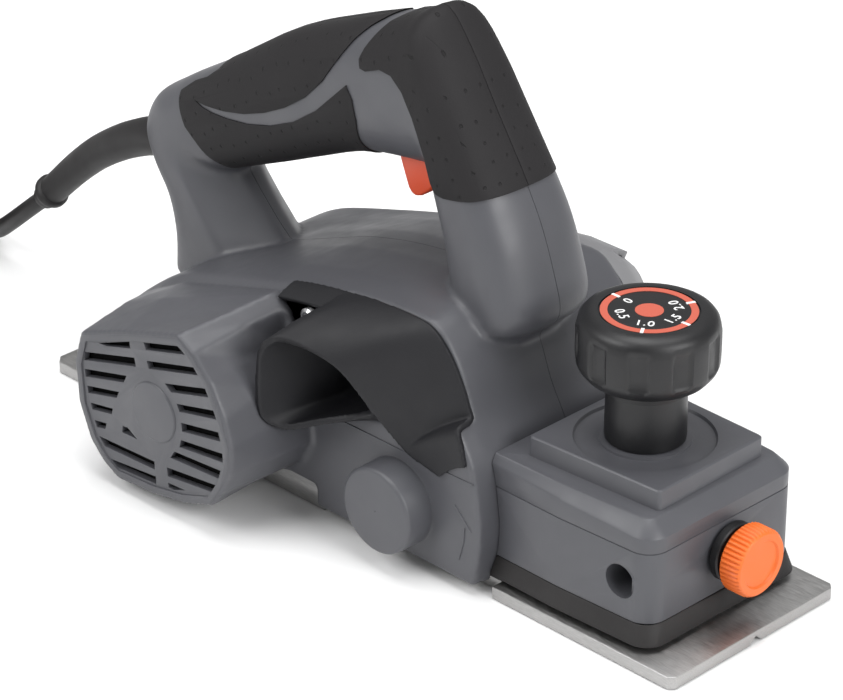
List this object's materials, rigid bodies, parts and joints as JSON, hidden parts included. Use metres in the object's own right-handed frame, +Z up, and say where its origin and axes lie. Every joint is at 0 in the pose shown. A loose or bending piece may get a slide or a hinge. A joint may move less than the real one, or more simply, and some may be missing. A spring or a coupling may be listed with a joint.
{
  "type": "electric hand planer",
  "caption": "Handheld electric planer with an aluminium sole, spinning two-blade cutter, side chip chute, loop handle, depth knob and mains lead.",
  "frame": {"origin": "on the sole plane, at mid length and mid width of the sole", "axes": "+X towards the front shoe, +Y towards the belt side, +Z up"},
  "size_m": [0.5178, 0.1492, 0.1833],
  "materials": {
    "housing_gray": "satin",
    "cover_gray": "matte",
    "soft_black": "matte",
    "hard_black": "satin",
    "orange": "satin",
    "bright_orange": "satin",
    "aluminium": "brushed",
    "steel": "satin",
    "copper": "satin",
    "carbon": "matte",
    "rubber": "matte"
  },
  "bodies": {
    "machine": {"rear_shoe": "aluminium", "left_shell": "housing_gray", "right_shell": "housing_gray", "front_housing": "housing_gray", "front_skirt": "hard_black", "motor_grille": "housing_gray", "belt_cover": "cover_gray", "belt_cover_screw": "steel", "bearing_cap": "housing_gray", "chute": "hard_black", "chute_screw": "steel", "drum_hood": "housing_gray", "rear_upper_grip_left": "soft_black", "rear_upper_grip_right": "soft_black", "rear_lower_grip_left": "soft_black", "rear_lower_grip_right": "soft_black", "front_grip_left": "soft_black", "front_grip_right": "soft_black", "drum_bearing_left": "steel", "drum_bearing_right": "steel", "motor_bearing_left": "steel", "motor_bearing_right": "steel", "stator": "steel", "carbon_brush_front": "carbon", "carbon_brush_rear": "carbon", "brush_holder_front": "copper", "brush_holder_rear": "copper", "drive_belt": "rubber", "depth_spring": "steel", "fence_collar": "hard_black", "switch_body": "hard_black", "cord_boot": "rubber", "cord_lead": "rubber", "cord_coil": "rubber", "cord_tail": "rubber", "mains_plug": "rubber"},
    "shoe": {"front_shoe": "aluminium", "shoe_gasket": "rubber"},
    "adjuster": {"depth_knob": "hard_black", "depth_dial": "orange", "depth_screw": "steel"},
    "cutter": {"cutter_drum": "aluminium", "blade_a": "steel", "blade_b": "steel", "blade_clamp_a": "steel", "blade_clamp_b": "steel", "drum_pulley": "steel"},
    "armature": {"motor_shaft": "steel", "armature_core": "steel", "commutator": "copper", "motor_fan": "hard_black", "motor_pulley": "steel"},
    "fence_clamp": {"fence_knob": "bright_orange", "fence_screw": "steel"},
    "trigger_lever": {"trigger": "orange"},
    "lock": {"lock_button": "orange"}
  },
  "joints": [
    {"name": "depth_knob_turn", "type": "hinge", "parent": "machine", "child": "adjuster", "pos_m": [0.10375, 0, 0.09], "axis": [0, 0, 1], "range_deg": [0, 240]},
    {"name": "front_shoe_slide", "type": "slide", "parent": "machine", "child": "shoe", "axis": [0, 0, 1], "range_m": [0, 0.002], "deforming": ["depth_spring"]},
    {"name": "cutter_spin", "type": "hinge", "parent": "machine", "child": "cutter", "pos_m": [0.0345, 0, 0.0238], "axis": [0, 1, 0], "continuous": true},
    {"name": "armature_spin", "type": "hinge", "parent": "machine", "child": "armature", "pos_m": [-0.051, 0, 0.0385], "axis": [0, 1, 0], "continuous": true},
    {"name": "fence_knob_turn", "type": "hinge", "parent": "machine", "child": "fence_clamp", "pos_m": [0.15, 0.002, 0.0292], "axis": [1, 0, 0], "range_deg": [0, 350]},
    {"name": "trigger_squeeze", "type": "hinge", "parent": "machine", "child": "trigger_lever", "pos_m": [0.012, 0, 0.133], "axis": [0, 1, 0], "range_deg": [0, 8], "stiffness_Nm_per_rad": 0.3, "springref_deg": -11.46},
    {"name": "lock_press", "type": "slide", "parent": "machine", "child": "lock", "axis": [0, -1, 0], "range_m": [0, 0.003], "stiffness_N_per_m": 300, "springref_m": -0.001}
  ],
  "couplings": [
    {"joint": "depth_knob_turn", "follows": "front_shoe_slide", "rad_per_m": 2094},
    {"joint": "armature_spin", "follows": "cutter_spin", "ratio": 1.659}
  ]
}
